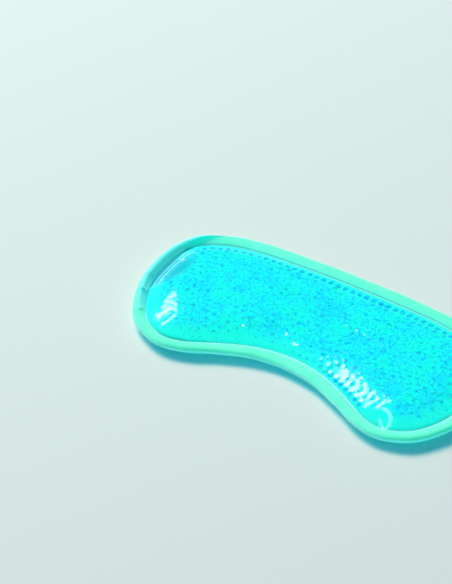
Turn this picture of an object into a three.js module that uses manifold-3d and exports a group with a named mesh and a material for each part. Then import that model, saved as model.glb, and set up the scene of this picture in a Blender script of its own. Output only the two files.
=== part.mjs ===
// Gel-bead eye pillow: two clear films welded together round a kidney-shaped rim, gel beads
// between them, and a folded fabric binding sewn over the weld.
// Millimetres. X runs along the pillow, Y from the nose notch to the brow edge, Z up. It lies on
// the plane Z = 0. Every piece is split at the nose bridge, X = 0, where the pillow folds.
import * as THREE from 'three';
import { mergeVertices } from 'three/addons/utils/BufferGeometryUtils.js';
import Module from 'manifold-3d';

// ---- Driving dimensions ----
const LENGTH = 200;
const WIDTH = 100.4;
const THICKNESS = 12;
const SEAM_HEIGHT = 5.2;
const FILM = 0.4;
const TAPE = 1.3;
const BINDING_WIDTH = 6.6;
const THREAD_RADIUS = 0.2;
const GAP = 0.3;

// ---- Form of the rim ----
const LIP = 1.3; // weld left bare between the binding and the bulge
const BROW_RISE = 17; // run of the front film's slope along the brow edge
const NOSE_RISE = 12; // and along the nose edge, where the beads settle
const BELLY_RISE = 10; // run of the back film's slope down to the table
const TAPE_ROUNDING = 0.6;
const FILL_START = 0.1; // share of the slope that is too thin to hold a bead

// ---- Fineness ----
const OUTLINE_STEPS = 96;
const SLOPE_STEPS = 5;
const ROLL_STEPS = 6;
const THREAD_SIDES = 6;

// Half of the outline, from the middle of the brow edge round the +X end to the nose notch,
// as shares of half the length and half the width.
const HALF_OUTLINE = [
  [0, 1],
  [0.3, 0.988],
  [0.57, 0.95],
  [0.77, 0.845],
  [0.91, 0.661],
  [0.978, 0.4],
  [1, 0.02],
  [0.982, -0.295],
  [0.924, -0.59],
  [0.82, -0.849],
  [0.7, -0.974],
  [0.61, -1],
  [0.5, -0.952],
  [0.33, -0.787],
  [0.18, -0.669],
  [0, -0.618],
];

// ---- Derived sizes ----
const WELD_TOP = SEAM_HEIGHT + GAP / 2 + FILM;
const WELD_BOTTOM = SEAM_HEIGHT - GAP / 2 - FILM;
const FILM_EDGE = TAPE + GAP;
const BULGE_START = BINDING_WIDTH + LIP;
const BINDING_HALF = GAP / 2 + FILM + GAP + TAPE;
const THREAD_INSET = BINDING_WIDTH + GAP + THREAD_RADIUS;
const THREAD_OFFSET = GAP + THREAD_RADIUS;

// ---- Materials ----
const clearFilm = new THREE.MeshStandardMaterial({
  color: 0xcdf6fa,
  roughness: 0.06,
  metalness: 0,
  transparent: true,
  opacity: 0.35,
});
const gel = new THREE.MeshStandardMaterial({ color: 0x12d8f0, roughness: 0.25, metalness: 0 });
const tapeFabric = new THREE.MeshStandardMaterial({
  color: 0x74f5d8,
  roughness: 0.75,
  metalness: 0,
});
const thread = new THREE.MeshStandardMaterial({ color: 0x5fe0c8, roughness: 0.6, metalness: 0 });

// ---- Outline: evenly spaced points with their outward normals ----
function outlineStations() {
  const right = HALF_OUTLINE.map(
    ([x, y]) => new THREE.Vector3((x * LENGTH) / 2, (y * WIDTH) / 2, 0),
  );
  const left = right
    .slice(1, -1)
    .reverse()
    .map((p) => new THREE.Vector3(-p.x, p.y, 0));
  const curve = new THREE.CatmullRomCurve3([...right, ...left], true, 'centripetal');
  curve.arcLengthDivisions = 2000;
  const stations = [];
  for (let i = 0; i < OUTLINE_STEPS; i++) {
    const along = i / OUTLINE_STEPS;
    const tangent = curve.getTangentAt(along);
    stations.push({
      point: curve.getPointAt(along),
      normal: new THREE.Vector2(-tangent.y, tangent.x), // the outline runs clockwise
    });
  }
  return stations;
}
const stations = outlineStations();

// A ring of points set in from the outline. inset is a number or a function of the station.
function ring(inset, z) {
  return stations.map((station) => {
    const depth = typeof inset === 'function' ? inset(station) : inset;
    return new THREE.Vector3(
      station.point.x - station.normal.x * depth,
      station.point.y - station.normal.y * depth,
      z,
    );
  });
}

// ---- Meshing ----
function geometryFrom(points, triangles) {
  const geometry = new THREE.BufferGeometry();
  const flat = points.flatMap((p) => [p.x, p.y, p.z]);
  geometry.setAttribute('position', new THREE.Float32BufferAttribute(flat, 3));
  geometry.setIndex(triangles);
  return geometry;
}

// Skins a run of rings. A closed run joins its last ring to its first, as a tube round the rim;
// an open run gets a flat cap on its first ring and on its last.
function skin(rings, closed) {
  const points = rings.flat();
  const count = OUTLINE_STEPS;
  const triangles = [];
  const spans = closed ? rings.length : rings.length - 1;
  for (let r = 0; r < spans; r++) {
    const here = r * count;
    const next = ((r + 1) % rings.length) * count;
    for (let i = 0; i < count; i++) {
      const j = (i + 1) % count;
      triangles.push(here + i, here + j, next + j, here + i, next + j, next + i);
    }
  }
  if (!closed) {
    const ends = [rings[0], rings[rings.length - 1]];
    const starts = [0, (rings.length - 1) * count];
    for (let end = 0; end < ends.length; end++) {
      const flat = ends[end].map((p) => new THREE.Vector2(p.x, p.y));
      for (const [a, b, c] of THREE.ShapeUtils.triangulateShape(flat, [])) {
        const corners = end === 0 ? [a, b, c] : [a, c, b];
        triangles.push(...corners.map((corner) => starts[end] + corner));
      }
    }
  }
  return geometryFrom(points, triangles);
}

// ---- Sections ----
const slopeShares = Array.from({ length: SLOPE_STEPS }, (_, k) => (k + 1) / SLOPE_STEPS);

function frontRise({ normal }) {
  return NOSE_RISE + ((BROW_RISE - NOSE_RISE) * (1 + normal.y)) / 2;
}

// A ring on the front bulge, sunk below its outer face.
function frontRing(share, sunk) {
  const z = WELD_TOP + (THICKNESS - WELD_TOP) * Math.sin((share * Math.PI) / 2) - sunk;
  return ring((station) => BULGE_START + sunk / 2 + frontRise(station) * share, z);
}

// A ring on the back bulge, raised above its outer face.
function backRing(share, raised) {
  const z = WELD_BOTTOM * (1 - Math.sin((share * Math.PI) / 2)) + raised;
  return ring(BULGE_START + raised / 2 + BELLY_RISE * share, z);
}

function frontFilm() {
  const outside = slopeShares.map((share) => frontRing(share, 0)).reverse();
  const inside = slopeShares.map((share) => frontRing(share, FILM));
  const weld = [
    ring(BULGE_START, WELD_TOP),
    ring(FILM_EDGE, WELD_TOP),
    ring(FILM_EDGE, WELD_TOP - FILM),
    ring(BULGE_START + FILM / 2, WELD_TOP - FILM),
  ];
  return skin([...outside, ...weld, ...inside], false);
}

function backFilm() {
  const inside = slopeShares.map((share) => backRing(share, FILM)).reverse();
  const outside = slopeShares.map((share) => backRing(share, 0));
  const weld = [
    ring(BULGE_START + FILM / 2, WELD_BOTTOM + FILM),
    ring(FILM_EDGE, WELD_BOTTOM + FILM),
    ring(FILM_EDGE, WELD_BOTTOM),
    ring(BULGE_START, WELD_BOTTOM),
  ];
  return skin([...inside, ...weld, ...outside], false);
}

function gelFill() {
  const sunk = FILM + GAP;
  const shares = [FILL_START, ...slopeShares];
  const top = shares.map((share) => frontRing(share, sunk)).reverse();
  const bottom = shares.map((share) => backRing(share, sunk));
  return skin([...top, ...bottom], false);
}

// The tape's section is a U lying on its side round the weld, with a rolled outer edge.
function edgeBinding() {
  const mouth = BINDING_HALF - TAPE;
  const section = [
    [BINDING_WIDTH, mouth],
    [BINDING_WIDTH, BINDING_HALF - TAPE_ROUNDING],
    [BINDING_WIDTH - TAPE_ROUNDING, BINDING_HALF],
  ];
  for (let k = 0; k <= ROLL_STEPS; k++) {
    const angle = Math.PI * (0.5 + k / ROLL_STEPS);
    section.push([
      BINDING_HALF * (1 + Math.cos(angle)),
      BINDING_HALF * Math.sin(angle),
    ]);
  }
  section.push(
    [BINDING_WIDTH - TAPE_ROUNDING, -BINDING_HALF],
    [BINDING_WIDTH, TAPE_ROUNDING - BINDING_HALF],
    [BINDING_WIDTH, -mouth],
    [TAPE, -mouth],
    [TAPE, mouth],
  );
  return skin(section.map(([inset, z]) => ring(inset, SEAM_HEIGHT + z)), true);
}

function seamThread(z) {
  const rings = [];
  for (let k = 0; k < THREAD_SIDES; k++) {
    const angle = (2 * Math.PI * k) / THREAD_SIDES;
    rings.push(
      ring(THREAD_INSET + THREAD_RADIUS * Math.cos(angle), z + THREAD_RADIUS * Math.sin(angle)),
    );
  }
  return skin(rings, true);
}

// ---- Splitting at the nose bridge ----
const wasm = await Module();
wasm.setup();

function solidFrom(geometry) {
  const bare = geometry.clone();
  bare.deleteAttribute('normal');
  bare.deleteAttribute('uv');
  const merged = mergeVertices(bare);
  return new wasm.Manifold(
    new wasm.Mesh({
      numProp: 3,
      vertProperties: new Float32Array(merged.attributes.position.array),
      triVerts: new Uint32Array(merged.index.array),
    }),
  );
}

function geometryOf(solid) {
  const mesh = solid.getMesh();
  const geometry = new THREE.BufferGeometry();
  geometry.setAttribute('position', new THREE.BufferAttribute(mesh.vertProperties, 3));
  geometry.setIndex(new THREE.BufferAttribute(mesh.triVerts, 1));
  geometry.computeVertexNormals();
  return geometry;
}

// A block that covers one side of the nose bridge and stops half a gap short of it.
function sideBlock(side) {
  const block = new THREE.BoxGeometry(LENGTH, 2 * WIDTH, 4 * THICKNESS);
  block.translate((side * (LENGTH + GAP)) / 2, 0, 0);
  return solidFrom(block);
}

const sides = { left: sideBlock(-1), right: sideBlock(1) };

function addPiece(group, name, geometry, material) {
  const whole = solidFrom(geometry);
  for (const [side, block] of Object.entries(sides)) {
    const mesh = new THREE.Mesh(geometryOf(whole.intersect(block)), material);
    mesh.name = `${name}_${side}`;
    group.add(mesh);
  }
}

// ---- Assembly ----
const eyePillow = new THREE.Group();
addPiece(eyePillow, 'front_film', frontFilm(), clearFilm);
addPiece(eyePillow, 'back_film', backFilm(), clearFilm);
addPiece(eyePillow, 'gel_beads', gelFill(), gel);
addPiece(eyePillow, 'edge_binding', edgeBinding(), tapeFabric);
addPiece(eyePillow, 'needle_thread', seamThread(WELD_TOP + THREAD_OFFSET), thread);
addPiece(eyePillow, 'bobbin_thread', seamThread(WELD_BOTTOM - THREAD_OFFSET), thread);

export default eyePillow;
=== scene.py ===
"""Looks for the gel-bead eye pillow: clear films, wet cyan beads, a mint fabric binding and its seam.

Lengths in this file are millimetres until a mesh is made; make_mesh turns them into metres.
"""
import math

import bmesh
import bpy
import numpy as np
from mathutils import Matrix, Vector
from mathutils.geometry import delaunay_2d_cdt


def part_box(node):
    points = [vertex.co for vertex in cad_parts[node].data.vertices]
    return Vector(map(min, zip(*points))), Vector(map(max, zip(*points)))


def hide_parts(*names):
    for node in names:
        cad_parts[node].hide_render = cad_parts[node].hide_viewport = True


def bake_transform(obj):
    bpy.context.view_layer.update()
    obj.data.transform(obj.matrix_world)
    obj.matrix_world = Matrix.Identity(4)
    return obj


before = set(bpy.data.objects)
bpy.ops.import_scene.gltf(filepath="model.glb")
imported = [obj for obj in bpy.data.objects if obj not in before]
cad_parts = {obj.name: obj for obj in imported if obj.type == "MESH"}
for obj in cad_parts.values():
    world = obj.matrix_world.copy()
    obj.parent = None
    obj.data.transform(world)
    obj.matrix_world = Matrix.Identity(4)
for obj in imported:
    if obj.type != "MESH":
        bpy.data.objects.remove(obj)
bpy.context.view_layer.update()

MM = 0.001


# ---- Sizes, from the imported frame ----
def union_box(*nodes):
    """The lowest and the highest corner of these nodes together, in mm."""
    corners = [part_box(node) for node in nodes]
    lo = np.min([np.array(c[0]) for c in corners], axis=0) / MM
    hi = np.max([np.array(c[1]) for c in corners], axis=0) / MM
    return lo, hi


binding_lo, binding_hi = union_box("edge_binding_left", "edge_binding_right")
front_lo, front_hi = union_box("front_film_left", "front_film_right")
needle_lo, _ = union_box("needle_thread_left", "needle_thread_right")

LENGTH = binding_hi[0] - binding_lo[0]
WIDTH = binding_hi[1] - binding_lo[1]
THICKNESS = front_hi[2]
SEAM_Z = (binding_lo[2] + binding_hi[2]) / 2
BINDING_HALF = (binding_hi[2] - binding_lo[2]) / 2
FILM_EDGE = front_lo[0] - binding_lo[0]
GAP = 0.3  # between the binding and the thread in the frame
FILM = 0.35
BINDING_WIDTH = needle_lo[0] - binding_lo[0] - GAP
WELD_HALF = 0.5  # the two welded films are 1 mm thick together
BACK_START = BINDING_WIDTH + 1.3  # where the back film leaves the weld
BELLY_RISE = 10.0  # run of its slope down to the table

# Half of the outline, as part.mjs has it, in shares of half the length and half the width.
HALF_OUTLINE = [
    (0, 1), (0.3, 0.988), (0.57, 0.95), (0.77, 0.845), (0.91, 0.661), (0.978, 0.4),
    (1, 0.02), (0.982, -0.295), (0.924, -0.59), (0.82, -0.849), (0.7, -0.974),
    (0.61, -1), (0.5, -0.952), (0.33, -0.787), (0.18, -0.669), (0, -0.618),
]

BEAD = 4.3  # a bead's diameter
BEAD_SEED = 7
EDGE_STEP = 0.75 * BEAD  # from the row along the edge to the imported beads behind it
LAYER_STEP = 0.75 * BEAD  # from one layer of beads down to the next
BLOCK = 4000  # points measured against the rim or the beads at a time, to save memory


def mix(nose, brow, share):
    """A size that goes from its value on the nose side to its value on the brow side."""
    return nose + (brow - nose) * share


def smoothstep(t):
    """0 below 0, 1 above 1, and a smooth climb between them."""
    t = np.clip(t, 0, 1)
    return t * t * (3 - 2 * t)


# ---- Outline ----
def closed_curve(points, steps):
    """A closed centripetal Catmull-Rom curve through the points, with steps samples a span."""
    p = np.array(points, float)
    out = []
    for i in range(len(p)):
        x0, x1, x2, x3 = p[i - 1], p[i], p[(i + 1) % len(p)], p[(i + 2) % len(p)]
        d0, d1, d2 = (math.sqrt(np.hypot(*b)) for b in (x1 - x0, x2 - x1, x3 - x2))
        t1 = ((x1 - x0) / d0 - (x2 - x0) / (d0 + d1) + (x2 - x1) / d1) * d1
        t2 = ((x2 - x1) / d1 - (x3 - x1) / (d1 + d2) + (x3 - x2) / d2) * d1
        s = np.linspace(0, 1, steps, endpoint=False)[:, None]
        cubic = 2 * x1 - 2 * x2 + t1 + t2
        square = -3 * x1 + 3 * x2 - 2 * t1 - t2
        out.append(x1 + t1 * s + square * s * s + cubic * s ** 3)
    return np.concatenate(out)


def outline_stations(count):
    """Evenly spaced outline points, clockwise from the brow's middle, and their outward normals."""
    half = [(x * LENGTH / 2, y * WIDTH / 2) for x, y in HALF_OUTLINE]
    dense = closed_curve(half + [(-x, y) for x, y in half[-2:0:-1]], 80)
    loop = np.vstack([dense, dense[:1]])
    along = np.concatenate([[0], np.cumsum(np.hypot(*np.diff(loop, axis=0).T))])
    at = np.linspace(0, along[-1], count, endpoint=False)
    points = np.stack([np.interp(at, along, loop[:, k]) for k in (0, 1)], axis=1)
    tangent = np.roll(points, -1, axis=0) - np.roll(points, 1, axis=0)
    tangent /= np.linalg.norm(tangent, axis=1)[:, None]
    normal = np.stack([-tangent[:, 1], tangent[:, 0]], axis=1)
    return points, normal, at, along[-1]


RIM_COUNT = 1440
# The rim's stations: their places, outward normals, distances along the rim, and its length
rim, rim_normal, rim_at, PERIMETER = outline_stations(RIM_COUNT)


def rim_distance(xy):
    """How far each point is inside the outline, and which rim station is nearest."""
    inset = np.empty(len(xy))
    nearest = np.empty(len(xy), int)
    for start in range(0, len(xy), BLOCK):
        part = xy[start:start + BLOCK]
        gap = part[:, None, :] - rim[None, :, :]
        d2 = (gap ** 2).sum(2)
        best = d2.argmin(1)
        rows = np.arange(len(part))
        nearest[start:start + BLOCK] = best
        inset[start:start + BLOCK] = -(gap[rows, best] * rim_normal[best]).sum(1)
    return inset, nearest


def inset_ring(inset):
    """The rim moved in by a distance for each of its stations."""
    return rim - rim_normal * np.asarray(inset).reshape(-1, 1)


def smooth_noise(x, y, seed, scale):
    """Seeded smooth noise from -1 to 1, as a sum of a few waves."""
    rng = np.random.default_rng(seed)
    total = np.zeros_like(x)
    for _ in range(7):
        angle, phase = rng.uniform(0, 2 * math.pi, 2)
        size = scale * rng.uniform(0.7, 1.5)
        wave = (x * math.cos(angle) + y * math.sin(angle)) * 2 * math.pi / size
        total += np.sin(wave + phase)
    return total / 4


# ---- Form of the pouch ----
BROW = (1 + rim_normal[:, 1]) / 2  # 1 where a rim station faces the brow side, 0 at the nose side
NOTCH = np.exp(-(((rim_at - 259) / 34) ** 2))  # the nose notch, where the pillow is thinner
WELD_Z = SEAM_Z - mix(0.6, 0.9, BROW) - 0.7 * NOTCH  # the weld sags below the tape's rolled edge
ROLL_Z = SEAM_Z - mix(0.1, 0.7, BROW) - 0.7 * NOTCH
ROLL_INSET = mix(0.0, 0.9, BROW)  # how far the rolled edge is drawn in
TAPE_INSET = mix(6.6, 7.9, BROW) + 1.3 * NOTCH  # the binding's inner edge
THREAD_LINE = TAPE_INSET + mix(-0.5, 0.35, BROW)  # the stitches sink into the tape on the nose side
BULGE_INSET = TAPE_INSET + mix(0.15, 0.9, BROW) + 0.7 * NOTCH  # where the film leaves the weld
SLACK_PLACE, SLACK_REACH = (-72, -47), 26  # the pouch is slacker at this corner
from_slack = np.hypot(rim[:, 0] - SLACK_PLACE[0], rim[:, 1] - SLACK_PLACE[1])
SLACK = np.exp(-((from_slack / SLACK_REACH) ** 2))
WALL = mix(0.6 + 1.1 * SLACK, 0.7, BROW) * (1 - NOTCH)  # how much of the rise is a steep wall
WALL_RUN = 1.1  # how soon the wall reaches its height
OVERHANG = mix(SLACK, 0, BROW) * (1 - NOTCH)  # how far the wall leans out
STEEP_FOOT = np.exp(-(((rim_at - 244) / 34) ** 4))  # here the slope is steepest at its foot
SLACK_FOOT = 0.5  # and this much so at the slack corner
LEVELLING = 3.4  # how soon such a slope levels out
SLOPE_RUN = mix(19.5, 23, BROW) + 5 * SLACK + 9 * STEEP_FOOT
SAG = 0.3  # the film hangs this much lower between the crown's high places
BRIDGE_X, BRIDGE_REACH, BRIDGE_DIP = 17, 34, 0.4  # the pouch is thinner near the nose bridge
# Where single beads show beside the binding: distance along the rim, reach and strength of each.
# They are clearest right of the notch, and faint at the near side of each lobe.
ROW_STRETCHES = [(232.5, 19, 1.0), (163, 27, 0.35), (320, 42, 0.5)]
ROW_SHOWS = sum(s * np.exp(-(((rim_at - at) / reach) ** 4)) for at, reach, s in ROW_STRETCHES)

CLEAR_X, CLEAR_Y = -87.5, 1.0  # the corner at the left end that holds no beads
CLEAR_RADIUS_X, CLEAR_RADIUS_Y = 9.0, 16.0
CLEAR_LEAN = 0.25  # it leans along the rim
CLEAR_DIP = 0.45  # share of the pouch's rise that is missing in its middle
BEADS_STOP = 0.45  # beads keep out of it where clear_corner is more than this


def clear_corner(xy):
    """1 in the middle of the bead-free corner, falling to 0 outside it."""
    x = (xy[:, 0] - CLEAR_X - CLEAR_LEAN * (xy[:, 1] - CLEAR_Y)) / CLEAR_RADIUS_X
    y = (xy[:, 1] - CLEAR_Y) / CLEAR_RADIUS_Y
    return np.exp(-((x ** 2 + y ** 2) ** 1.5))


def rim_place(x, y):
    """Distance along the rim, in mm, of the station nearest to a point."""
    return rim_at[((rim - np.array([x, y])) ** 2).sum(1).argmin()]


# The tape is rolled in at the left end, from a slanting crease to where it lies flat again
CREASE_OUTER = rim_place(-65, 46.8)
CREASE_INNER = rim_place(-88.7, 20.3)
ROLL_END = rim_place(-82, -34)
ROLL_START = smoothstep((rim_at - ROLL_END + 6) / 22)
ROLLED = smoothstep((CREASE_INNER + 8 - rim_at) / 8) * ROLL_START
# Where the tape puckers: distance along the rim, width and height of each
PUCKERS = [
    (rim_place(-93, -21), 1.2, 0.9),
    (rim_place(-85, -33), 1.3, 0.8),
    (rim_place(-97, -8), 1.6, 0.5),
]


def front_height(xy, inset, nearest):
    """The front film's outer face without the beads' bumps."""
    wall = WALL[nearest]
    weld_top = WELD_Z[nearest] + WELD_HALF
    beyond = np.clip(inset - BULGE_INSET[nearest], 0, None)
    steep = wall * (1 - np.exp(-beyond / WALL_RUN))
    t = np.clip(beyond / SLOPE_RUN[nearest], 0, 1)
    levelling = (1 - np.exp(-LEVELLING * t)) / (1 - math.exp(-LEVELLING))
    foot = np.maximum(STEEP_FOOT, SLACK_FOOT * SLACK)[nearest]
    share = mix(np.sin(t * math.pi / 2), levelling, foot)
    gentle = (THICKNESS - weld_top - wall) * share
    uneven = 1 + smooth_noise(xy[:, 0], xy[:, 1], seed=3, scale=40)
    sag = SAG * uneven * smoothstep(t * 1.5 - 0.4)
    bridge = BRIDGE_DIP * np.exp(-(((xy[:, 0] - BRIDGE_X) / BRIDGE_REACH) ** 2))
    return weld_top + steep + (gentle - sag) * (1 - CLEAR_DIP * clear_corner(xy)) * (1 - bridge)


def back_height(inset, nearest):
    """The back film's outer face, which is flat on the table inside its slope."""
    t = np.clip((inset - BACK_START) / BELLY_RISE, 0, 1)
    return (WELD_Z[nearest] - WELD_HALF) * (1 - np.sin(t * math.pi / 2))


# ---- Mesh helpers ----
UV_SCALE = 0.01  # one UV unit is 100 mm of tape


def make_mesh(name, points, faces, material, smooth=True):
    """points in mm, faces as an array of triangles or quads."""
    mesh = bpy.data.meshes.new(name)
    faces = np.asarray(faces)
    corners = faces.shape[1]
    mesh.vertices.add(len(points))
    mesh.vertices.foreach_set("co", (np.asarray(points) * MM).astype(np.float32).ravel())
    mesh.loops.add(faces.size)
    mesh.loops.foreach_set("vertex_index", faces.astype(np.int32).ravel())
    mesh.polygons.add(len(faces))
    mesh.polygons.foreach_set("loop_start", np.arange(0, faces.size, corners, dtype=np.int32))
    mesh.polygons.foreach_set("use_smooth", np.full(len(faces), smooth))
    mesh.update(calc_edges=True)
    mesh.validate()
    obj = bpy.data.objects.new(name, mesh)
    bpy.context.scene.collection.objects.link(obj)
    mesh.materials.append(material)
    return obj


def set_attribute(obj, name, values):
    """A number for each vertex, which the materials read by its name."""
    attribute = obj.data.attributes.new(name, "FLOAT", "POINT")
    attribute.data.foreach_set("value", np.asarray(values, np.float32))


def sweep(name, rings, material, uv=None):
    """Skins closed rings, one for each section point, into a tube that runs round the rim.

    uv holds the distances across the tape and along it, and the tape's whole length, in mm.
    """
    rings = np.asarray(rings)  # section point, station, xyz
    sides, count = rings.shape[:2]
    a = np.arange(sides)[:, None] * count + np.arange(count)[None, :]
    b = np.roll(a, -1, axis=1)
    c, d = np.roll(b, -1, axis=0), np.roll(a, -1, axis=0)
    faces = np.stack([a, b, c, d], axis=2).reshape(-1, 4)
    obj = make_mesh(name, rings.reshape(-1, 3), faces, material)
    if uv is not None:
        across, along, length = uv
        layer = obj.data.uv_layers.new(name="UVMap")
        u = np.broadcast_to(across[:, None], (sides, count))
        v = np.broadcast_to(along[None, :], (sides, count))
        v_next = np.broadcast_to(np.append(along[1:], length)[None, :], (sides, count))
        u_next = np.roll(u, -1, axis=0)
        quads = np.stack(
            [np.stack([u, v], 2), np.stack([u, v_next], 2),
             np.stack([u_next, v_next], 2), np.stack([u_next, v], 2)], axis=2)
        layer.data.foreach_set("uv", (quads.reshape(-1, 2) * UV_SCALE).astype(np.float32).ravel())
    return obj


def both_lobes(obj, material_slot, *nodes):
    """The piece stands for these CAD nodes, which are hidden; its place is baked into its mesh."""
    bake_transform(obj)
    if nodes:
        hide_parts(*nodes)
    return obj


# ---- Materials ----
def new_material(name):
    """A new material with its nodes, its links and its Principled shader."""
    material = bpy.data.materials.new(name)
    material.use_nodes = True
    nodes = material.node_tree.nodes
    return material, nodes, material.node_tree.links, nodes["Principled BSDF"]


def set_inputs(node, values):
    """Sets these inputs of a node, by their names."""
    for name, value in values.items():
        node.inputs[name].default_value = value


def ramp(nodes, stops):
    """A colour ramp through (position, colour) stops."""
    node = nodes.new("ShaderNodeValToRGB")
    for i, (position, colour) in enumerate(stops):
        if i < 2:
            element = node.color_ramp.elements[i]
            element.position = position
        else:
            element = node.color_ramp.elements.new(position)
        element.color = (*colour, 1)
    return node


def attribute(nodes, name):
    """The number that set_attribute stored under this name."""
    node = nodes.new("ShaderNodeAttribute")
    node.attribute_name = name
    return node.outputs["Fac"]


def math_node(nodes, links, operation, first, second=0.0, third=0.0):
    node = nodes.new("ShaderNodeMath")
    node.operation = operation
    for socket, value in zip(node.inputs, (first, second, third)):
        if isinstance(value, (int, float)):
            socket.default_value = value
        else:
            links.new(value, socket)
    return node.outputs[0]


def moved_towards(nodes, links, colour, target, name):
    """The colour, moved towards a fixed one by the attribute of this name."""
    node = nodes.new("ShaderNodeMix")
    node.data_type = "RGBA"
    node.inputs[7].default_value = (*target, 1)
    links.new(attribute(nodes, name), node.inputs[0])
    links.new(colour, node.inputs[6])
    return node.outputs[2]


FILM_FACING = 0.0114  # share of light that the film mirrors when it is looked at squarely
FILM_GRAZING = 0.3  # and how much more at a glance


def film_material():
    """Clear soft vinyl: it mirrors more at a glance and lets everything else through.

    The weld attribute frosts it where the films were pressed together, and paints it pale on creases
    that stand up and along two wrinkles, as painted highlights. The shade attribute darkens that, as
    painted shade on creases that sink and as the painted shadow of the tape's rolled edge.
    """
    material, nodes, links, shader = new_material("clear_film")
    nodes.remove(shader)
    clear = nodes.new("ShaderNodeBsdfTransparent")
    clear.inputs["Color"].default_value = (0.96, 0.995, 0.995, 1)
    frost_and_painted_light = nodes.new("ShaderNodeBsdfDiffuse")
    # pale frost and painted highlights, darkened by painted shade and painted shadow
    shade = ramp(nodes, [(0.0, (0.40, 0.92, 0.88)), (1.0, (0.01, 0.30, 0.40))])
    links.new(attribute(nodes, "shade"), shade.inputs["Fac"])
    links.new(shade.outputs["Color"], frost_and_painted_light.inputs["Color"])
    body = nodes.new("ShaderNodeMixShader")
    links.new(attribute(nodes, "weld"), body.inputs[0])
    links.new(clear.outputs[0], body.inputs[1])
    links.new(frost_and_painted_light.outputs[0], body.inputs[2])
    gloss = nodes.new("ShaderNodeBsdfGlossy")
    gloss.inputs["Roughness"].default_value = 0.12
    # Schlick's rule, the same from both sides of the film
    facing = nodes.new("ShaderNodeLayerWeight")
    facing.inputs["Blend"].default_value = 0.5
    glance = math_node(nodes, links, "POWER", facing.outputs["Facing"], 5)
    schlick = math_node(nodes, links, "MULTIPLY_ADD", glance, FILM_GRAZING, FILM_FACING)
    surface = nodes.new("ShaderNodeMixShader")
    links.new(schlick, surface.inputs[0])
    links.new(body.outputs[0], surface.inputs[1])
    links.new(gloss.outputs[0], surface.inputs[2])
    links.new(surface.outputs[0], nodes["Material Output"].inputs["Surface"])
    return material


def soft_normal(nodes, links, share):
    """The surface's normal leaned towards straight up, as light spreads inside a gel or a knit."""
    geometry = nodes.new("ShaderNodeNewGeometry")
    blend = nodes.new("ShaderNodeMix")
    blend.data_type = "VECTOR"
    blend.inputs[0].default_value = share
    blend.inputs[5].default_value = (0, 0, 1)
    links.new(geometry.outputs["Normal"], blend.inputs[4])
    unit = nodes.new("ShaderNodeVectorMath")
    unit.operation = "NORMALIZE"
    links.new(blend.outputs[1], unit.inputs[0])
    return unit.outputs[0]


def gel_colour(nodes, links, coordinates, depth):
    """Cyan gel: bluer with the depth input, and specked by bead edges below.

    On the beads that input is painted shade on each cap towards the lamp; where it is low the gel is
    painted bright, as painted light.
    """
    specks = nodes.new("ShaderNodeTexNoise")
    set_inputs(specks, {"Scale": 750, "Detail": 1.5, "Distortion": 0.6})
    drift = nodes.new("ShaderNodeTexNoise")
    set_inputs(drift, {"Scale": 85, "Detail": 2})
    for texture in (specks, drift):
        links.new(coordinates, texture.inputs["Vector"])
    # The noise stays near its middle, so it is spread over the whole ramp
    speck = math_node(nodes, links, "MULTIPLY_ADD", specks.outputs["Fac"], 2.6, -0.98)
    total = math_node(nodes, links, "MULTIPLY_ADD", depth, 0.9, speck)
    shade = ramp(nodes, [
        (0.0, (0.013, 0.87, 0.81)),
        (0.4, (0.009, 0.76, 0.82)),
        (0.75, (0.003, 0.58, 0.78)),
        (1.0, (0.000, 0.46, 0.73)),
    ])
    links.new(total, shade.inputs["Fac"])
    hue = ramp(nodes, [(0.36, (0.9, 1.06, 0.9)), (0.64, (1.0, 0.9, 1.04))])
    links.new(drift.outputs["Fac"], hue.inputs["Fac"])
    tinted = nodes.new("ShaderNodeMix")
    tinted.data_type = "RGBA"
    tinted.blend_type = "MULTIPLY"
    tinted.inputs[0].default_value = 1
    links.new(shade.outputs["Color"], tinted.inputs[6])
    links.new(hue.outputs["Color"], tinted.inputs[7])
    return tinted.outputs[2]


def let_light_in(shader, weight, radius, scale):
    """Light goes in and comes out again nearby, as far as the scale in metres."""
    set_inputs(shader, {
        "Subsurface Weight": weight,
        "Subsurface Radius": radius,
        "Subsurface Scale": scale,
    })


def bead_material():
    """Wet gel beads under the film."""
    material, nodes, links, shader = new_material("gel_beads")
    coordinates = nodes.new("ShaderNodeTexCoord").outputs["Object"]
    # painted shade: each bead is bluer on its cap towards the lamp
    colour = gel_colour(nodes, links, coordinates, attribute(nodes, "depth_and_painted_shade"))
    links.new(colour, shader.inputs["Base Color"])
    links.new(soft_normal(nodes, links, 0.88), shader.inputs["Normal"])
    set_inputs(shader, {"Roughness": 0.5, "Specular IOR Level": 0.05})
    let_light_in(shader, 0.8, (0.05, 1.0, 1.0), 0.003)
    return material


def tint_shadow(material, colour):
    """Light that passes through the piece leaves a shadow of this colour."""
    nodes, links = material.node_tree.nodes, material.node_tree.links
    output = nodes["Material Output"]
    surface = output.inputs["Surface"].links[0].from_socket
    path = nodes.new("ShaderNodeLightPath")
    through = nodes.new("ShaderNodeBsdfTransparent")
    through.inputs["Color"].default_value = (*colour, 1)
    either = nodes.new("ShaderNodeMixShader")
    links.new(path.outputs["Is Shadow Ray"], either.inputs[0])
    links.new(surface, either.inputs[1])
    links.new(through.outputs[0], either.inputs[2])
    links.new(either.outputs[0], output.inputs["Surface"])
    return material


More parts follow.
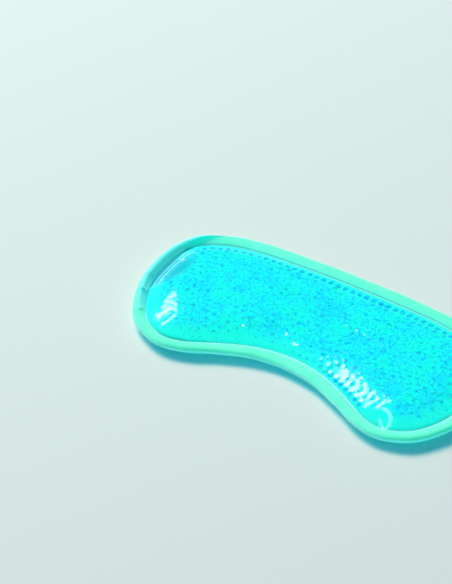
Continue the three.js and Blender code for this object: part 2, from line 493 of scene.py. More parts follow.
def core_material():
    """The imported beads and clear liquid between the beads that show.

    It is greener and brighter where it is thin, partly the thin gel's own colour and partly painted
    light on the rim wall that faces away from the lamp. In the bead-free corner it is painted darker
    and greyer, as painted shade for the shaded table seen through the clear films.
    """
    material, nodes, links, shader = new_material("gel_core")
    coordinates = nodes.new("ShaderNodeTexCoord").outputs["Object"]
    colour = gel_colour(nodes, links, coordinates, attribute(nodes, "depth_and_painted_shade"))
    # greener and brighter where thin: the gel's own colour, and painted light on the rim wall that
    # faces away from the lamp
    colour = moved_towards(nodes, links, colour, (0.025, 0.93, 0.76), "thin")
    # painted shade in the bead-free corner
    colour = moved_towards(nodes, links, colour, (0.015, 0.50, 0.59), "painted_corner_shade")
    links.new(colour, shader.inputs["Base Color"])
    links.new(soft_normal(nodes, links, 0.88), shader.inputs["Normal"])
    set_inputs(shader, {"Roughness": 0.6, "Specular IOR Level": 0.0})
    let_light_in(shader, 1.0, (0.05, 1.0, 1.0), 0.004)
    return tint_shadow(material, (0.005, 0.715, 0.79))


def binding_material():
    """Smooth stretch knit: fine ribs along the tape, a soft sheen and a little light through it.

    It is painted bluer where light from the gel would reach it, and painted paler at its foot on
    the nose side, for the light thrown back by the table: both are painted light.
    """
    material, nodes, links, shader = new_material("binding_fabric")
    uv = nodes.new("ShaderNodeUVMap")
    uv.uv_map = "UVMap"
    ribs = nodes.new("ShaderNodeTexWave")
    ribs.wave_type = "BANDS"
    ribs.bands_direction = "X"
    set_inputs(ribs, {"Scale": 36, "Distortion": 1.2, "Detail": 2, "Detail Scale": 3})
    links.new(uv.outputs["UV"], ribs.inputs["Vector"])
    coordinates = nodes.new("ShaderNodeTexCoord")
    blotch = nodes.new("ShaderNodeTexNoise")
    set_inputs(blotch, {"Scale": 90, "Detail": 4})
    links.new(coordinates.outputs["Object"], blotch.inputs["Vector"])
    colours = ramp(nodes, [(0.3, (0.11, 0.77, 0.52)), (0.7, (0.15, 0.84, 0.58))])
    links.new(blotch.outputs["Fac"], colours.inputs["Fac"])
    colour = colours.outputs["Color"]
    # painted light from the gel
    colour = moved_towards(nodes, links, colour, (0.15, 0.93, 0.88), "gel_lit")
    # painted light thrown back by the table
    colour = moved_towards(nodes, links, colour, (0.44, 0.98, 0.92), "foot")
    links.new(colour, shader.inputs["Base Color"])
    bump = nodes.new("ShaderNodeBump")
    set_inputs(bump, {"Strength": 0.5, "Distance": 0.0001})
    links.new(soft_normal(nodes, links, 0.3), bump.inputs["Normal"])
    links.new(ribs.outputs["Fac"], bump.inputs["Height"])
    links.new(bump.outputs["Normal"], shader.inputs["Normal"])
    set_inputs(shader, {
        "Roughness": 0.7,
        "Specular IOR Level": 0.2,
        "Sheen Weight": 0.25,
        "Sheen Tint": (0.8, 1, 0.95, 1),
    })
    let_light_in(shader, 0.75, (0.35, 1.0, 0.8), 0.005)
    return tint_shadow(material, (0.05, 0.73, 0.80))


def thread_material():
    """Twisted polyester thread, a little darker than the tape: partly its own colour, partly painted
    shade of the seam's groove.
    """
    material, nodes, links, shader = new_material("seam_thread")
    coordinates = nodes.new("ShaderNodeTexCoord")
    twist = nodes.new("ShaderNodeTexNoise")
    twist.inputs["Scale"].default_value = 1500
    links.new(coordinates.outputs["Object"], twist.inputs["Vector"])
    # darker teal, partly painted shade of the seam's groove
    colours = ramp(nodes, [(0.3, (0.05, 0.55, 0.45)), (0.7, (0.10, 0.66, 0.54))])
    links.new(twist.outputs["Fac"], colours.inputs["Fac"])
    links.new(colours.outputs["Color"], shader.inputs["Base Color"])
    shader.inputs["Roughness"].default_value = 0.55
    return material


def floor_material():
    """A plain pale matt surface."""
    material, _, _, shader = new_material("studio_floor")
    set_inputs(shader, {
        "Base Color": (0.597, 0.697, 0.678, 1),
        "Roughness": 0.9,
        "Specular IOR Level": 0.0,
    })
    return material


FILM_MATERIAL = film_material()
BEAD_MATERIAL = bead_material()
CORE_MATERIAL = core_material()
BINDING_MATERIAL = binding_material()
THREAD_MATERIAL = thread_material()


# ---- Directions of the camera and of the light ----
CAMERA_AZIMUTH = math.radians(31.23)
CAMERA_ELEVATION = math.radians(42.5)
LIGHT_AZIMUTH = math.radians(33)  # left of straight behind the pillow, as the camera sees it
LIGHT_ELEVATION = math.radians(46)
to_right = Vector((math.cos(CAMERA_AZIMUTH), math.sin(CAMERA_AZIMUTH), 0))
away = Vector((-math.sin(CAMERA_AZIMUTH), math.cos(CAMERA_AZIMUTH), 0))
level = away * math.cos(LIGHT_AZIMUTH) - to_right * math.sin(LIGHT_AZIMUTH)
TO_LIGHT = level * math.cos(LIGHT_ELEVATION) + Vector((0, 0, math.sin(LIGHT_ELEVATION)))
# The middle of each bead's cap of painted shade, between the lamp and straight up
PAINTED_SHADE_DIRECTION = (TO_LIGHT + Vector((0, 0, 1))).normalized()


# ---- Beads ----
PACKED_PITCH = 1.02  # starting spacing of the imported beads, in bead diameters
TOUCHING = 1.03  # they push each other while they are closer than this, in bead diameters
PUSH_SHARE = 0.32  # how much of the overlap a push takes away
PUSH_ROUNDS = 14
EDGE_JITTER = 0.08  # how unevenly the row along the edge is spaced
PACKED_JITTER = 0.3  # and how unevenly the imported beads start, in bead diameters
SIZE_SPREAD = 0.04  # spread of the beads' radii
SQUEEZE_SPREAD = 0.035  # and of their stretch along each axis
SMALLEST_RADIUS = 0.4
EDGE_ROW_PLAIN = mix(9.6, 14.0, BROW) + 0.9 * NOTCH + 1.2 * ROW_SHOWS
# The row along the edge, in mm from the rim, which goes round the bead-free corner
EDGE_ROW = EDGE_ROW_PLAIN + 8 * clear_corner(inset_ring(EDGE_ROW_PLAIN + 3))
BOTTOM_ROW = 12.5  # the same for the layer on the back film


def relax(points, fixed, inside):
    """Pushes points apart until they are about a bead from each other and from the fixed ones."""
    for _ in range(PUSH_ROUNDS):
        every = np.vstack([fixed, points])
        gap = points[:, None, :] - every[None, :, :]
        distance = np.hypot(gap[..., 0], gap[..., 1])
        distance[distance < 1e-6] = 1e9
        push = np.clip(BEAD * TOUCHING - distance, 0, None) / distance
        moved = points + PUSH_SHARE * (gap * push[..., None]).sum(1)
        stays = inside(moved)
        points = np.where(stays[:, None], moved, points)
    return points


def bead_layer(edge_inset, seed):
    """Bead centres in plan, first one row along the edge and then the rest packed inside it.

    Returns too how many are in that row.
    """
    ring = inset_ring(edge_inset)
    closed = np.vstack([ring, ring[:1]])
    along = np.concatenate([[0], np.cumsum(np.hypot(*np.diff(closed, axis=0).T))])
    count = int(along[-1] / BEAD)
    rng = np.random.default_rng(seed)
    jitter = rng.uniform(-EDGE_JITTER, EDGE_JITTER, count)
    at = (np.arange(count) + jitter) * along[-1] / count
    edge = np.stack([np.interp(at, along, closed[:, k]) for k in (0, 1)], axis=1)
    grid = hex_grid(BEAD * PACKED_PITCH)
    grid += rng.normal(0, PACKED_JITTER * BEAD, grid.shape)

    def inside(xy):
        inset, nearest = rim_distance(xy)
        return inset > edge_inset[nearest] + EDGE_STEP

    grid = grid[inside(grid)]
    grid = relax(grid, edge, inside)
    return np.vstack([edge, grid]), len(edge)


def unit_ball(subdivisions):
    """Corner directions and triangles of an icosphere of radius 1."""
    ball = bmesh.new()
    bmesh.ops.create_icosphere(ball, subdivisions=subdivisions, radius=1)
    points = np.array([v.co for v in ball.verts])
    faces = np.array([[v.index for v in f.verts] for f in ball.faces])
    ball.free()
    return points, faces


def bead_mesh(name, centres, radii, strength, subdivisions, seed):
    """All these beads as one mesh. Each is a slightly squeezed ball with a cap of painted shade
    towards the lamp.

    strength says how blue each cap's painted shade is.
    """
    unit, faces = unit_ball(subdivisions)
    rng = np.random.default_rng(seed)
    count = len(centres)
    squeeze = 1 + rng.normal(0, SQUEEZE_SPREAD, (count, 3))
    points = unit[None] * squeeze[:, None, :] * radii[:, None, None] + centres[:, None, :]
    index = faces[None] + (np.arange(count) * len(unit))[:, None, None]
    obj = make_mesh(name, points.reshape(-1, 3), index.reshape(-1, 3), BEAD_MATERIAL)
    obj.visible_shadow = False
    # painted shade on the cap that faces the lamp, for the light the bead bends to its far side
    cap = smoothstep((unit @ np.array(PAINTED_SHADE_DIRECTION) - 0.4) / 0.5)
    set_attribute(obj, "depth_and_painted_shade", (cap[None, :] * strength[:, None]).ravel())
    return obj


def room_under(plan, radii):
    """The highest that a bead of each radius can sit below the front film at these places."""
    height = np.full(len(plan), 1e9)
    for share in (0, 0.5, 0.9):
        reach = radii * share
        rise = np.sqrt(radii ** 2 - reach ** 2)
        for angle in np.arange(8) * math.pi / 4:
            beside = plan + np.outer(reach, (math.cos(angle), math.sin(angle)))
            inset, nearest = rim_distance(beside)
            height = np.minimum(height, front_height(beside, inset, nearest) - rise)
    return height - FILM


def layer_under(plan, depth, seed):
    """Bead centres this far under the front film, and their radii.

    Where the pouch thins towards the weld, the beads are made smaller, but some still cross a film.
    """
    rng = np.random.default_rng(seed)
    radii = BEAD / 2 * (1 + rng.normal(0, SIZE_SPREAD, len(plan)))
    inset, nearest = rim_distance(plan)
    looseness = 0.12 * (1 - ROW_SHOWS[nearest])
    below = 0.08 + depth + np.abs(rng.normal(0, 1, len(plan))) * looseness
    floor = back_height(inset, nearest) + FILM
    for _ in range(3):
        missing = floor + radii - (room_under(plan, radii) - below)
        radii = np.clip(radii - np.clip(missing, 0, None) / 2, SMALLEST_RADIUS, None)
    return np.column_stack([plan, room_under(plan, radii) - below]), radii


def top_bead_painted_shade(plan, in_edge, near_edge, nearest, rng):
    """How blue each bead's cap of painted shade is. The row along the edge is bluest, then a bead
    here and there.
    """
    strength = rng.uniform(0.1, 0.42, len(plan)) + 0.4 * (rng.random(len(plan)) < 0.13)
    strength = strength * (1 - 0.5 * near_edge * (1 - BROW[nearest]))
    strength = strength + 0.25 * near_edge * BROW[nearest]
    shows = np.maximum(BROW, ROW_SHOWS)[nearest[in_edge]]
    strength[in_edge] = rng.uniform(0.8, 1.0, len(shows)) * shows
    return strength + 0.35 * clear_corner(plan + np.array([-6, 0]))


def top_bead_bumps(in_edge, behind_edge, nearest, rng):
    """How far the film stands proud over each bead, more near the edge and where it is slack."""
    uneven = rng.uniform(0.5, 1.4, len(in_edge))
    bump = mix(0.05, 0.13, smoothstep(1.15 - behind_edge / 9)) * uneven
    bump *= 1 + 0.9 * SLACK[nearest] + 1.6 * STEEP_FOOT[nearest]
    bump[in_edge] = mix(0.05, 0.24, np.maximum(ROW_SHOWS, SLACK)[nearest[in_edge]])
    return bump


def build_top_beads():
    """The layer that shows. Returns the centres, and the widths and heights of their bumps."""
    plan, edge_count = bead_layer(EDGE_ROW, BEAD_SEED)
    in_edge = np.arange(len(plan)) < edge_count
    inset, nearest = rim_distance(plan)
    behind_edge = inset - EDGE_ROW[nearest]
    near_edge = smoothstep(1 - behind_edge / 8)
    rng = np.random.default_rng(BEAD_SEED + 1)
    strength = top_bead_painted_shade(plan, in_edge, near_edge, nearest, rng)
    bump = top_bead_bumps(in_edge, behind_edge, nearest, rng)
    width = mix(0.5, 0.75, np.maximum(SLACK, STEEP_FOOT)[nearest])
    depth = np.where(in_edge, 0.35 * (1 - np.maximum(BROW, ROW_SHOWS)[nearest]), 0)
    keep = clear_corner(plan) < BEADS_STOP
    plan, strength, bump, width, depth = (a[keep] for a in (plan, strength, bump, width, depth))
    centres, radii = layer_under(plan, depth, BEAD_SEED + 2)
    for side, chosen in (("left", plan[:, 0] < 0), ("right", plan[:, 0] >= 0)):
        piece = bead_mesh(
            f"gel_beads_top_{side}", centres[chosen], radii[chosen], strength[chosen], 3, 21)
        both_lobes(piece, "gel_beads", f"gel_beads_{side}")
    return centres, radii * width, bump


def build_lower_beads():
    """One layer under the one that shows, and one on the back film.

    Each layer is placed on its own, so beads of different layers overlap.
    """
    plan, _ = bead_layer(EDGE_ROW + 3.0, BEAD_SEED + 5)
    plan = plan[clear_corner(plan) < BEADS_STOP]
    centres, radii = layer_under(plan, LAYER_STEP, BEAD_SEED + 6)
    piece = bead_mesh("gel_beads_middle", centres, radii, np.full(len(plan), 0.5), 2, 22)
    both_lobes(piece, "gel_beads")
    plan, _ = bead_layer(np.full(RIM_COUNT, BOTTOM_ROW), BEAD_SEED + 9)
    inset, nearest = rim_distance(plan)
    radii = np.full(len(plan), BEAD / 2)
    centres = np.column_stack([plan, back_height(inset, nearest) + FILM + 0.1 + BEAD / 2])
    piece = bead_mesh("gel_beads_bottom", centres, radii, np.full(len(plan), 0.4), 2, 23)
    both_lobes(piece, "gel_beads")


# ---- Films ----
FILM_RINGS, FILM_RING_REACH = 22, 2.4  # rings from the cut edge to this far up the bulge
FILM_GRID = 0.75  # spacing of the points inside them
CORE_RINGS = (0, 0.4, 0.8, 1.2, 1.6, 2.0, 2.6, 3.4)  # in mm from where the core starts
CORE_START = 0.45  # from where the film leaves the weld
CORE_GRID = 1.6


def hex_grid(pitch):
    """Evenly spaced points over the whole plan, in staggered rows."""
    rows = []
    for r, y in enumerate(np.arange(-WIDTH / 2, WIDTH / 2, pitch * math.sqrt(3) / 2)):
        x = np.arange(-LENGTH / 2 + (r % 2) * pitch / 2, LENGTH / 2, pitch)
        rows.append(np.stack([x, np.full(len(x), y)], axis=1))
    return np.concatenate(rows)


def plan_mesh(insets, grid_pitch):
    """Plan points and upward triangles: rings at these insets, then an even grid inside them.

    Returns too which points are on the outermost ring.
    """
    rings = [inset_ring(inset)[::2] for inset in insets]
    count = len(rings[0])
    grid = hex_grid(grid_pitch)
    inset, nearest = rim_distance(grid)
    grid = grid[inset > insets[-1][nearest] + 0.6 * grid_pitch]
    inner_points = np.vstack([rings[-1], grid])
    loop = list(range(count))[::-1]
    triangles, source = delaunay_2d_cdt(
        [Vector(p) for p in inner_points], [], [loop], 1, 1e-7)[2:4]
    order = np.array([s[0] for s in source])
    inner_faces = order[np.array(triangles)] + (len(rings) - 1) * count
    points = np.vstack([*rings[:-1], inner_points])
    a = np.arange(len(rings) - 1)[:, None] * count + np.arange(count)[None, :]
    b = np.roll(a, -1, axis=1)
    near = np.stack([a, b, b + count], axis=2).reshape(-1, 3)
    far = np.stack([a, b + count, a + count], axis=2).reshape(-1, 3)
    faces = np.vstack([near, far, inner_faces])
    corner = points[faces]
    area = np.cross(corner[:, 1] - corner[:, 0], corner[:, 2] - corner[:, 0])
    faces[area < 0] = faces[area < 0][:, ::-1]
    return points, faces, np.arange(count)


def bead_bumps(xy, centres, widths, bump):
    """How far the film stands proud over the nearest bead, less its dip between beads."""
    height = np.zeros(len(xy))
    for start in range(0, len(xy), BLOCK):
        part = xy[start:start + BLOCK]
        distance = np.sqrt(((part[:, None, :] - centres[None, :, :2]) ** 2).sum(2))
        nearest = distance.argmin(1)
        closest = distance[np.arange(len(part)), nearest] / widths[nearest]
        height[start:start + BLOCK] = bump[nearest] * (np.exp(-closest ** 2) - 0.3)
    return height


# Creases in the slack film of the bead-free corner: inset, width and height of each. A crease
# that stands up is painted pale, as a painted highlight, and one that sinks is painted dark, as
# painted shade.
CORNER_FOLDS = [
    (9.4, 0.5, -0.40),
    (10.8, 0.35, 0.2),
    (11.7, 0.4, -0.35),
    (13.0, 0.35, 0.25),
    (14.2, 0.5, -0.25),
]
# Small bumps that catch the light: place, height and radius of each
GLINTS = [
    ((-28, -20), 0.95, 2.6),
    ((-6, -12), 0.8, 2.0),
    ((1.5, -16), 1.0, 2.6),
    ((5.5, -15), 0.8, 2.0),
    ((-39.6, -1), 0.3, 0.8),
    ((-87, 15), 0.6, 1.2),
    ((-86, 13), 0.6, 1.2),
    ((-85, 11), 0.6, 1.2),
]
# Short creases in the film: the points along each, its width and its height
WRINKLES = [
    ([(59.3, -34.3), (63.2, -35), (66, -37.2), (67, -41), (65.8, -44)], 1.2, 0.55),
    ([(61.6, -40.5), (65, -43.6)], 0.9, 0.4),
    ([(-70, -39), (-66.5, -31)], 0.9, 0.3),
    ([(-66, -41), (-63, -32)], 0.9, 0.3),
    ([(-60.5, -41), (-59.5, -36), (-61.5, -31)], 0.9, 0.3),
]
# Painted highlights along two creases of the film: the points along each, and its width
PAINTED_CREASE_HIGHLIGHTS = [
    ([(60.5, -34.6), (63.5, -35), (66, -37), (67.1, -40.5), (66, -44)], 0.6),
    ([(61.5, -40.3), (64.8, -43.3)], 0.5),
]


def corner_creases(xy, inset):
    """Creases along the rim of the bead-free corner, in mm of height."""
    drift = 0.05 * (xy[:, 1] - CLEAR_Y)
    height = np.zeros(len(xy))
    for place, width, size in CORNER_FOLDS:
        height += size * np.exp(-((inset - place - drift) / width) ** 2)
    return height * smoothstep(2.2 * clear_corner(xy) - 0.2)


def distance_to_path(xy, path):
    """How far each point is from a run of straight pieces."""
    nearest = np.full(len(xy), 1e9)
    for start, end in zip(np.array(path[:-1]), np.array(path[1:])):
        run = end - start
        share = np.clip(((xy - start) @ run) / (run @ run), 0, 1)
        gap = xy - start - share[:, None] * run
        nearest = np.minimum(nearest, np.hypot(gap[:, 0], gap[:, 1]))
    return nearest


def film_details(xy, inset):
    """The corner's creases and a few small bumps and wrinkles elsewhere."""
    height = corner_creases(xy, inset)
    for (x, y), size, radius in GLINTS:
        d2 = (xy[:, 0] - x) ** 2 + (xy[:, 1] - y) ** 2
        height += size * np.exp(-d2 / radius ** 2)
    for path, width, size in WRINKLES:
        height += size * np.exp(-(distance_to_path(xy, path) / width) ** 2)
    return height


def closed_shell(name, plan, faces, edge, upper, lower, material):
    """Two faces over one plan, joined round their edge into a closed form."""
    count = len(plan)
    points = np.vstack([np.column_stack([plan, upper]), np.column_stack([plan, lower])])
    inner, outer = edge, np.roll(edge, -1)
    side_a = np.stack([inner, inner + count, outer + count], axis=1)
    side_b = np.stack([inner, outer + count, outer], axis=1)
    all_faces = np.vstack([faces, faces[:, ::-1] + count, side_a, side_b])
    return make_mesh(name, points, all_faces, material)


def weld_attribute(obj, plan, inset, nearest):
    """Where the film has frost or is painted pale, and where that is painted dark.

    It has frost from the cut edge to where the films part. It is painted pale on the corner's creases
    that stand up and along the painted crease highlights, as painted highlights, and painted dark on
    creases that sink and under the tape's rolled edge, as painted shade and painted shadow.
    """
    edge = BULGE_INSET[nearest]
    frost_and_painted_light = 0.85 * smoothstep((edge + 0.5 - inset) / 0.7)
    creases = corner_creases(plan, inset)
    frost_and_painted_light = np.maximum(frost_and_painted_light, np.where(creases > 0, 1.3, 2.0) * np.abs(creases))
    # painted highlights along two creases
    for path, width in PAINTED_CREASE_HIGHLIGHTS:
        off_crease = distance_to_path(plan, path) / width
        frost_and_painted_light = np.maximum(frost_and_painted_light, 0.75 * np.exp(-off_crease ** 2))
    set_attribute(obj, "weld", np.concatenate([frost_and_painted_light, frost_and_painted_light]))
    # painted shadow of the tape's rolled edge, and painted shade on creases that sink
    under_roll = ROLLED[nearest] * smoothstep((edge + 0.3 - inset) / 0.5)
    dark = np.maximum(smoothstep(-6 * creases), 0.75 * under_roll)
    set_attribute(obj, "shade", np.concatenate([dark, dark]))


def ring_insets(last_extra, count):
    """Insets of the rings from the film's cut edge to a little way up the bulge."""
    share = np.linspace(0, 1, count)
    start = FILM_EDGE + ROLL_INSET
    return [start + (BULGE_INSET + last_extra - start) * t for t in share]


def lean_out(points, nearest, beyond, share=1.0):
    """Moves the steep wall of the pouch out over the binding."""
    out = OVERHANG[nearest] * np.exp(-((beyond - 1.6) / 0.9) ** 2) * share
    return points + rim_normal[nearest] * out[:, None]


def build_films(centres, widths, bump):
    """The front film with the beads' bumps, and the back film, over one plan."""
    points, faces, edge = plan_mesh(ring_insets(FILM_RING_REACH, FILM_RINGS), FILM_GRID)
    inset, nearest = rim_distance(points)
    beyond = inset - BULGE_INSET[nearest]
    z = front_height(points, inset, nearest)
    bumps = bead_bumps(points, centres, widths, bump)
    slack = smoothstep(beyond / 2.5) * (1 - clear_corner(points))
    z = z + slack * bumps + film_details(points, inset)
    spread = lean_out(points, nearest, beyond, 1 + 1.2 * bumps)
    obj = closed_shell("front_film", spread, faces, edge, z, z - FILM, FILM_MATERIAL)
    finish_film(obj, points, inset, nearest, "front_film_left", "front_film_right")
    low = back_height(inset, nearest)
    obj = closed_shell("back_film", points, faces, edge, low + FILM, low, FILM_MATERIAL)
    finish_film(obj, points, inset, nearest, "back_film_left", "back_film_right")


def finish_film(obj, plan, inset, nearest, *nodes):
    """Frosts the film, and keeps it from casting a shadow."""
    weld_attribute(obj, plan, inset, nearest)
    obj.visible_shadow = False
    both_lobes(obj, "clear_film", *nodes)


def build_core():
    """What fills the pouch between the beads that show: more beads, and clear liquid."""
    start = BULGE_INSET + CORE_START
    points, faces, edge = plan_mesh([start + step for step in CORE_RINGS], CORE_GRID)
    inset, nearest = rim_distance(points)
    beyond = inset - BULGE_INSET[nearest]
    front = front_height(points, inset, nearest) - FILM
    low = back_height(inset, nearest) + FILM + 0.1
    shows = ROW_SHOWS[nearest]
    edge_sink = (mix(0.03, 0.22, BROW[nearest]) + 0.13 * shows) * BEAD
    depth_and_painted_shade = mix(0.12, edge_sink, smoothstep((beyond - mix(1.5, 0.8, shows)) / mix(3, 1.5, shows)))
    depth_and_painted_shade = mix(depth_and_painted_shade, 0.13 * BEAD, smoothstep((beyond - 6) / 8))
    corner = clear_corner(points)
    depth_and_painted_shade = depth_and_painted_shade + 0.8 * corner
    low = low + 0.45 * BEAD * smoothstep((inset - 11) / 4)
    top = np.maximum(front - depth_and_painted_shade, low + 0.05)
    spread = lean_out(points, nearest, beyond)
    obj = closed_shell("gel_core", spread, faces, edge, top, low, CORE_MATERIAL)
    # partly painted light: the thin rim is greener and brighter, and wider on the nose side
    thin = smoothstep(1 - (beyond - mix(1, 4.5, BROW[nearest])) / mix(13, 6, BROW[nearest]))
    set_attribute(obj, "thin", 0.8 * np.concatenate([thin, thin]))
    set_attribute(obj, "depth_and_painted_shade", np.zeros(2 * len(points)))
    # painted shade: the bead-free corner is darker and greyer
    painted_corner_shade = smoothstep(corner * 1.6 - 0.3)
    set_attribute(obj, "painted_corner_shade", np.concatenate([painted_corner_shade, painted_corner_shade]))
    both_lobes(obj, "gel_beads")


# ---- Binding ----
def binding_section():
    """The tape's section as (share of its width, height from the seam).

    It has a rolled edge, a crown that comes down to a thin inner edge, and the same below.
    """
    half = BINDING_HALF
    width = BINDING_WIDTH
    upper = [(width - 0.1, 0.62), (width, 0.85), (width - 0.12, 1.08)]
    for x in np.linspace(width - 0.5, half, 16):
        rise = math.sin(math.pi / 2 * min(1, (width - 0.3 - x) / 2.6))
        upper.append((x, 1.1 + (half - 1.1) * rise))
    roll = [(half * (1 + math.cos(a)), half * math.sin(a))
            for a in np.linspace(math.pi / 2, 1.5 * math.pi, 21)[1:-1]]
    lower = [(x, -z) for x, z in reversed(upper)]
    inside = [(1.3, -0.6), (1.3, 0.6)]
    section = np.array(upper + roll + lower + inside)
    section[:, 0] /= width
    return section


def build_binding():
    """The tape round the rim.

    gel_lit marks the rolled part painted as lit by the gel, and foot the low outer part on the nose
    side painted as lit by the table: both are painted light.
    """
    section = binding_section()
    x, y = rim[:, 0], rim[:, 1]
    rings = []
    gel_lit = []
    foot = []
    for u, v in section:
        outward = 1 - u
        crease = CREASE_OUTER + (CREASE_INNER - CREASE_OUTER) * u
        rolled = smoothstep((crease - rim_at) / 3.5) * ROLL_START
        crest = math.exp(-((u - 0.58) / 0.3) ** 2)
        inset = TAPE_INSET * u + outward * ROLL_INSET + 0.9 * rolled * outward ** 2
        inset = inset + 0.7 * rolled * u ** 3
        height = mix(WELD_Z, ROLL_Z, smoothstep(outward / 0.7)) + v * mix(1, 0.85, BROW)
        upper = smoothstep((v - 0.1) / 1.1)
        valley = np.exp(-((rim_at - crease + 0.6) / 1.6) ** 2)
        ridge = np.exp(-((rim_at - crease - 2.6) / 1.7) ** 2)
        lift = 2.1 * rolled + 0.6 * ridge - 1.2 * valley
        for place, width, size in PUCKERS:
            lift = lift + size * np.exp(-((rim_at - place + 3 * outward) / width) ** 2)
        height = height + lift * crest * upper
        wobble = 0.16 * smooth_noise(x, y, 11, 24) * (0.4 + outward)
        ripple = 0.05 * smooth_noise(x, y, 12, 7) * np.sign(v)
        inset = inset + 0.15 * smooth_noise(x, y, 13, 17) * outward
        rings.append(np.column_stack([inset_ring(inset), height + wobble + ripple]))
        # painted light from the gel on the rolled part
        gel_lit.append(0.9 * rolled * upper * smoothstep((u - 0.3) / 0.35))
        # painted light from the table on the low outer part
        low_outside = smoothstep((1.7 - v) / 1.6) * smoothstep((0.5 - u) / 0.3)
        foot.append(0.8 * low_outside * (1 - BROW))
    steps = np.diff(section, axis=0) * [BINDING_WIDTH, 1]
    across = np.concatenate([[0], np.cumsum(np.hypot(*steps.T))])
    obj = sweep("edge_binding", rings, BINDING_MATERIAL, uv=(across, rim_at, PERIMETER))
    set_attribute(obj, "gel_lit", np.concatenate(gel_lit))
    set_attribute(obj, "foot", np.concatenate(foot))
    return both_lobes(obj, "binding_fabric", "edge_binding_left", "edge_binding_right")


# ---- Seam threads ----
STITCH = 2.6
STITCH_STEPS = 8  # points along each stitch
STITCH_DIP = 0.42  # how far the thread goes down at a needle hole
THREAD_RADIUS = 0.2
THREAD_SIDES = 6
THREAD_LIFT = 0.3  # the thread's middle is this far off the weld between needle holes


def build_thread(name, side):
    """A run of stitches on one side of the weld, that dips into it at each needle hole."""
    count = int(PERIMETER / STITCH) * STITCH_STEPS
    at = np.linspace(0, RIM_COUNT, count, endpoint=False)
    index = np.arange(RIM_COUNT + 1)
    closed = np.vstack([rim, rim[:1]])
    turned = np.vstack([rim_normal, rim_normal[:1]])
    path = np.stack([np.interp(at, index, closed[:, k]) for k in (0, 1)], axis=1)
    normal = np.stack([np.interp(at, index, turned[:, k]) for k in (0, 1)], axis=1)
    middle = np.interp(at, index, np.append(THREAD_LINE, THREAD_LINE[0]))
    weld = np.interp(at, index, np.append(WELD_Z, WELD_Z[0]))
    phase = (np.arange(count) % STITCH_STEPS) / STITCH_STEPS
    dip = STITCH_DIP * (1 - np.sin(math.pi * phase) ** 0.5)
    rings = []
    for k in range(THREAD_SIDES):
        angle = 2 * math.pi * k / THREAD_SIDES
        inset = middle + THREAD_RADIUS * math.cos(angle)
        ring = path - normal * inset[:, None]
        height = weld + side * (WELD_HALF + THREAD_LIFT - dip) + THREAD_RADIUS * math.sin(angle)
        rings.append(np.column_stack([ring, height]))
    obj = sweep(name, rings, THREAD_MATERIAL)
    return both_lobes(obj, "seam_thread", f"{name}_left", f"{name}_right")


# ---- Build ----
top_beads = build_top_beads()
build_lower_beads()
build_core()
build_films(*top_beads)
build_binding()
build_thread("needle_thread", 1)
build_thread("bobbin_thread", -1)


# ---- Studio, in metres ----
WHITE = (1, 1, 1)
KEY_DISTANCE, FILL_DISTANCE = 4.5, 2.5
LAMP_TARGET = (-0.02, 0, 0)
CAMERA_TARGET = (-0.05328, 0.00234, 0.0052)
CAMERA_DISTANCE = 1.062
CAMERA_LENS, CAMERA_SENSOR = 123.3, 36  # mm


def build_floor():
    """A large plane, a tenth of a millimetre under the pillow."""
    mesh = bpy.data.meshes.new("floor")
    size = 6.0
    corners = [(-size, -size, 0), (size, -size, 0), (size, size, 0), (-size, size, 0)]
    mesh.from_pydata(corners, [], [(0, 1, 2, 3)])
    floor = bpy.data.objects.new("floor", mesh)
    floor.location.z = -0.0001
    bpy.context.scene.collection.objects.link(floor)
    mesh.materials.append(floor_material())
    return floor


def softbox(name, direction, distance, width, height, colour, power):
    """A soft rectangular light that shines on the pillow from this direction."""
    light = bpy.data.lights.new(name, "AREA")
    light.shape = "RECTANGLE"
    light.size, light.size_y = width, height
    light.color = colour
    light.energy = power
    lamp = bpy.data.objects.new(name, light)
    lamp.location = Vector(LAMP_TARGET) + direction * distance
    lamp.rotation_mode = "QUATERNION"
    lamp.rotation_quaternion = direction.to_track_quat("Z", "Y")
    bpy.context.scene.collection.objects.link(lamp)
    return lamp


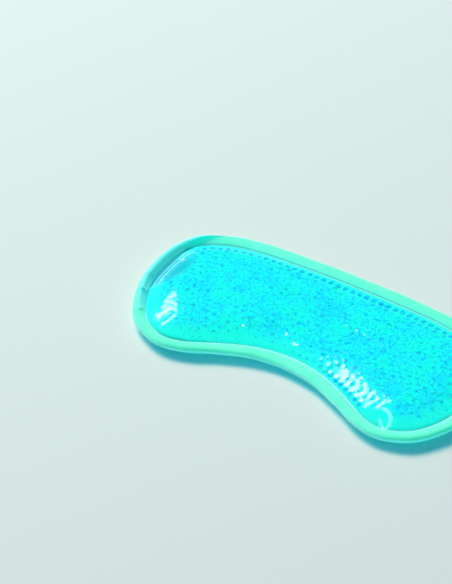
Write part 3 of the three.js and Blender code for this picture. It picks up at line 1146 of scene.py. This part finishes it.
def build_lights(floor):
    """A key light behind and to the left, a wider one in the same place, and a low cyan fill.

    The film mirrors only the key. The fill stands for light that the table throws back, so it
    skips the floor. Only the camera sees the backdrop.
    """
    softbox("key", TO_LIGHT, KEY_DISTANCE, 1.65, 1.2, WHITE, 200)
    wide = softbox("wide_key", TO_LIGHT, KEY_DISTANCE, 3.6, 2.7, WHITE, 127)
    wide.visible_glossy = False
    front = (to_right * 0.25 - away + Vector((0, 0, 0.28))).normalized()
    fill = softbox("fill", front, FILL_DISTANCE, 2.4, 0.7, (0.10, 1, 0.92), 32)
    fill.visible_glossy = False
    unlit = bpy.data.collections.new("not_lit_by_fill")
    unlit.objects.link(floor)
    fill.light_linking.receiver_collection = unlit
    unlit.collection_objects[0].light_linking.link_state = "EXCLUDE"
    world = bpy.data.worlds.new("studio")
    world.use_nodes = True
    nodes, links = world.node_tree.nodes, world.node_tree.links
    set_inputs(nodes["Background"], {"Color": (0.93, 1.0, 1.0, 1), "Strength": 0.06})
    backdrop = nodes.new("ShaderNodeBackground")
    backdrop.inputs["Color"].default_value = (0.62, 0.70, 0.70, 1)
    path = nodes.new("ShaderNodeLightPath")
    seen = nodes.new("ShaderNodeMixShader")
    links.new(path.outputs["Is Camera Ray"], seen.inputs[0])
    links.new(nodes["Background"].outputs[0], seen.inputs[1])
    links.new(backdrop.outputs[0], seen.inputs[2])
    links.new(seen.outputs[0], nodes["World Output"].inputs["Surface"])
    bpy.context.scene.world = world


def build_camera():
    """From the nose side and the right. The end of the right lobe is outside the picture."""
    back = Vector((
        math.sin(CAMERA_AZIMUTH) * math.cos(CAMERA_ELEVATION),
        -math.cos(CAMERA_AZIMUTH) * math.cos(CAMERA_ELEVATION),
        math.sin(CAMERA_ELEVATION),
    ))
    camera = bpy.data.cameras.new("camera")
    camera.sensor_width = CAMERA_SENSOR
    camera.lens = CAMERA_LENS
    camera.clip_start, camera.clip_end = 0.05, 20
    holder = bpy.data.objects.new("camera", camera)
    holder.location = Vector(CAMERA_TARGET) + back * CAMERA_DISTANCE
    holder.rotation_mode = "QUATERNION"
    holder.rotation_quaternion = back.to_track_quat("Z", "Y")
    bpy.context.scene.collection.objects.link(holder)
    bpy.context.scene.camera = holder


build_lights(build_floor())
build_camera()
bpy.context.scene.view_settings.view_transform = "Standard"
